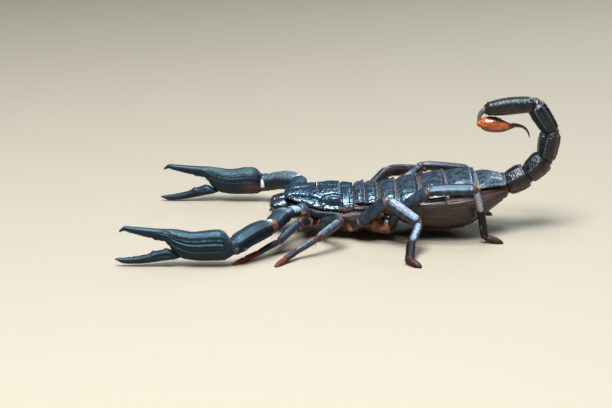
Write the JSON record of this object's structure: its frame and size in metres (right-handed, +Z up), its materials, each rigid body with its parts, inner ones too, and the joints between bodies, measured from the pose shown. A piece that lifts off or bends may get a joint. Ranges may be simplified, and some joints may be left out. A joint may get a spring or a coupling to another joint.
{
  "type": "scorpion model",
  "caption": "Life-size still model of a dark forest scorpion standing with open claws held forward and its tail curled over its back.",
  "frame": {"origin": "bottom centre of the box round the whole animal, level with the soles of its feet", "axes": "+X from the head towards the tail, +Y towards the animal's right side, +Z up"},
  "size_m": [0.105, 0.0676, 0.0335],
  "materials": {
    "shell": "glossy blue-black shell with fine grains and ridges",
    "limb_shell": "glossy blue-black shell, browner below and at the joints",
    "soft_skin": "satin brown skin with fine lengthwise folds",
    "red_shell": "glossy orange-red shell",
    "sting_tip": "polished near-black point",
    "eye": "polished black",
    "rusty_shell": "satin rust-brown shell"
  },
  "bodies": {
    "root": {"carapace": "shell", "coxae": "rusty_shell", "abdomen": "soft_skin", "tergite_1": "shell", "tergite_2": "shell", "tergite_3": "shell", "tergite_4": "shell", "tergite_5": "shell", "tergite_6": "shell", "tergite_7": "shell", "tail_1": "shell", "tail_2": "shell", "tail_3": "shell", "tail_4": "shell", "tail_5": "shell", "vesicle": "red_shell", "sting": "sting_tip", "eye_left": "eye", "chelicera_left": "shell", "pecten_left": "rusty_shell", "arm_left_trochanter": "shell", "arm_left_femur": "shell", "arm_left_patella": "shell", "arm_left_hand": "shell", "arm_left_finger": "shell", "leg_left_1_femur": "limb_shell", "leg_left_1_patella": "limb_shell", "leg_left_1_tarsus": "limb_shell", "leg_left_2_femur": "limb_shell", "leg_left_2_patella": "limb_shell", "leg_left_2_tarsus": "limb_shell", "leg_left_3_femur": "limb_shell", "leg_left_3_patella": "limb_shell", "leg_left_3_tarsus": "limb_shell", "leg_left_4_femur": "limb_shell", "leg_left_4_patella": "limb_shell", "leg_left_4_tarsus": "limb_shell", "eye_right": "eye", "chelicera_right": "shell", "pecten_right": "rusty_shell", "arm_right_trochanter": "shell", "arm_right_femur": "shell", "arm_right_patella": "shell", "arm_right_hand": "shell", "arm_right_finger": "shell", "leg_right_1_femur": "limb_shell", "leg_right_1_patella": "limb_shell", "leg_right_1_tarsus": "limb_shell", "leg_right_2_femur": "limb_shell", "leg_right_2_patella": "limb_shell", "leg_right_2_tarsus": "limb_shell", "leg_right_3_femur": "limb_shell", "leg_right_3_patella": "limb_shell", "leg_right_3_tarsus": "limb_shell", "leg_right_4_femur": "limb_shell", "leg_right_4_patella": "limb_shell", "leg_right_4_tarsus": "limb_shell"}
  },
  "joints": []
}
